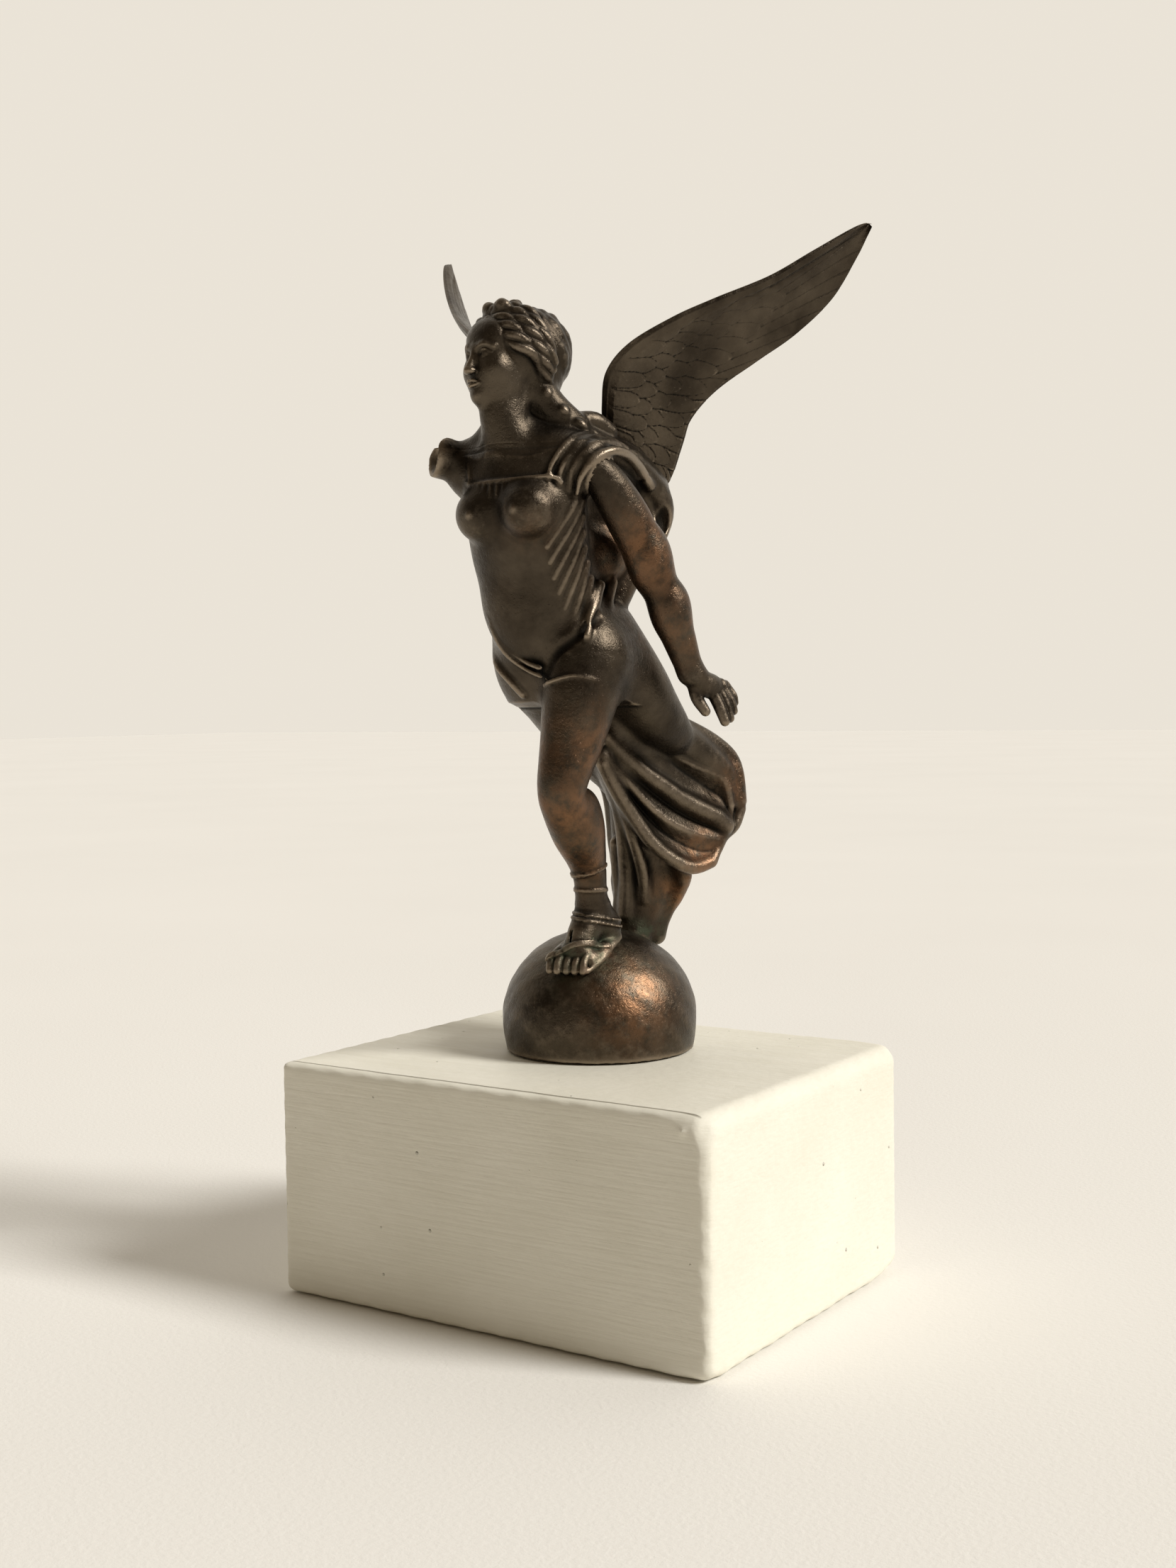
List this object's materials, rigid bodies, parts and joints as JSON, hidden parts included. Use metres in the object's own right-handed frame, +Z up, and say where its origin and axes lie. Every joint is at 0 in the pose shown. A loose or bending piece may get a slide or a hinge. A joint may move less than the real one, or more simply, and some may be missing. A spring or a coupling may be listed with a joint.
{
  "type": "hood ornament",
  "caption": "Cast bronze winged woman striding forward on a half globe, screwed to a painted wood display plinth.",
  "frame": {"origin": "centre of the felt pad's underside, which is the centre of the plinth's footprint", "axes": "+Z up; the figure strides towards -Y, the plinth's wide front face, and her left side is +X"},
  "size_m": [0.1, 0.076, 0.2099],
  "materials": {
    "bronze": "dark brown patina, worn to copper red on the high spots",
    "steel": "plain steel, dulled by age",
    "rubber": "black sheet rubber",
    "painted_wood": "cream white paint laid on with a brush",
    "felt": "dark green felt"
  },
  "bodies": {
    "root": {"figure": "bronze", "left_arm": "bronze", "left_wing": "bronze", "right_wing": "bronze", "globe_base": "bronze", "left_arm_dowel": "steel", "left_wing_screw_upper": "steel", "left_wing_screw_lower": "steel", "right_wing_screw_upper": "steel", "right_wing_screw_lower": "steel", "front_foot_stud": "steel", "front_foot_nut": "steel", "rear_foot_stud": "steel", "rear_foot_nut": "steel", "mounting_stud": "steel", "plinth_washer": "steel", "lock_washer": "steel", "plinth_nut": "steel", "base_gasket": "rubber", "plinth_block": "painted_wood", "felt_pad": "felt"}
  },
  "joints": []
}
